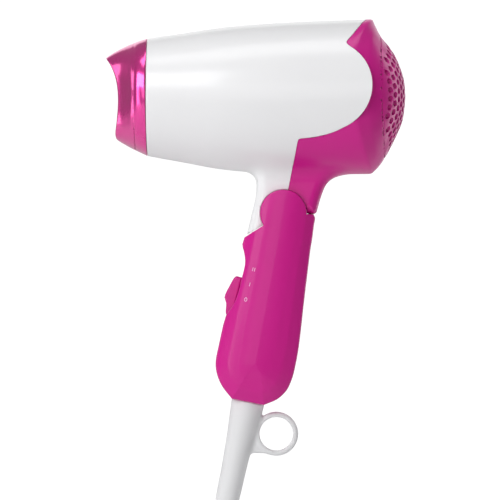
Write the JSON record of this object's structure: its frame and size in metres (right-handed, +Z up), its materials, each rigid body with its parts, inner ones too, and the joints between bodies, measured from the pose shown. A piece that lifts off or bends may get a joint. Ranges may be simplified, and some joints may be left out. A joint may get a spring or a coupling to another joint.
{
  "type": "hair dryer",
  "caption": "Folding travel hair dryer with a round barrel, domed inlet grille, slotted nozzle, sliding speed switch, ring strain relief and mains lead.",
  "frame": {"origin": "middle of the grip, on the handle's axis, 50 mm below the fold hinge along the handle", "axes": "-X is the way the air blows out of the nozzle, +Z is up, Y runs across the handle along the fold hinge's pin"},
  "size_m": [0.1567, 0.08, 0.5255],
  "materials": {
    "white_shell": "satin gloss moulded plastic",
    "magenta_shell": "satin gloss moulded plastic",
    "magenta_metallic": "tinted high gloss plastic",
    "dark_plastic": "matte moulded plastic",
    "natural_plastic": "natural moulded plastic",
    "mica": "pressed mica sheet",
    "heating_wire": "drawn wire",
    "steel": "zinc plated",
    "copper": "enamelled winding",
    "brass": "stamped sheet",
    "nickel": "nickel plated",
    "board": "coated laminate",
    "lead_insulation": "wire insulation",
    "film_capacitor": "potted case",
    "white_pvc": "soft satin",
    "tie_strap": "woven hook and loop strap"
  },
  "bodies": {
    "handle": {"handle_left": "magenta_shell", "handle_right": "magenta_shell", "handle_screws": "steel", "switch_housing": "natural_plastic", "switch_terminals": "brass", "suppressor_capacitor": "film_capacitor", "handle_leads": "lead_insulation", "cord_stub": "white_pvc", "cord_clamp": "natural_plastic", "clamp_screws": "steel", "strain_relief": "white_pvc", "power_cord": "white_pvc", "cord_hank": "white_pvc", "cord_tie": "tie_strap", "cord_end": "white_pvc", "plug_body": "white_pvc", "plug_pins": "nickel"},
    "head": {"front_housing": "white_shell", "rear_housing": "magenta_shell", "inlet_grille": "magenta_shell", "outlet_grille": "dark_plastic", "heater_sleeve": "mica", "heater_frame": "mica", "heating_coil": "heating_wire", "thermostat": "steel", "thermal_fuse": "steel", "motor_mount": "natural_plastic", "motor_can": "steel", "motor_end_cap": "dark_plastic", "motor_magnets": "dark_plastic", "rectifier_board": "board", "rectifier_diodes": "dark_plastic", "neck_screws": "steel", "hinge_barrel": "natural_plastic", "detent_plunger": "steel", "detent_spring": "steel", "head_leads": "lead_insulation"},
    "nozzle": {"nozzle": "magenta_metallic"},
    "switch": {"switch_carriage": "dark_plastic", "switch_knob": "magenta_shell"},
    "fan": {"armature": "copper", "motor_shaft": "steel", "fan_impeller": "dark_plastic"}
  },
  "joints": [
    {"name": "head_fold", "type": "hinge", "parent": "handle", "child": "head", "pos_m": [0.00911, 0, 0.04916], "axis": [0, -1, 0], "range_deg": [0, 78]},
    {"name": "nozzle_pull", "type": "slide", "parent": "head", "child": "nozzle", "axis": [-1, 0, 0], "range_m": [0, 0.022]},
    {"name": "switch_slide", "type": "slide", "parent": "handle", "child": "switch", "axis": [0.2571, 0, 0.9664], "range_m": [0, 0.016]},
    {"name": "fan_spin", "type": "hinge", "parent": "head", "child": "fan", "pos_m": [0.01911, 0, 0.10946], "axis": [1, 0, 0], "continuous": true}
  ]
}
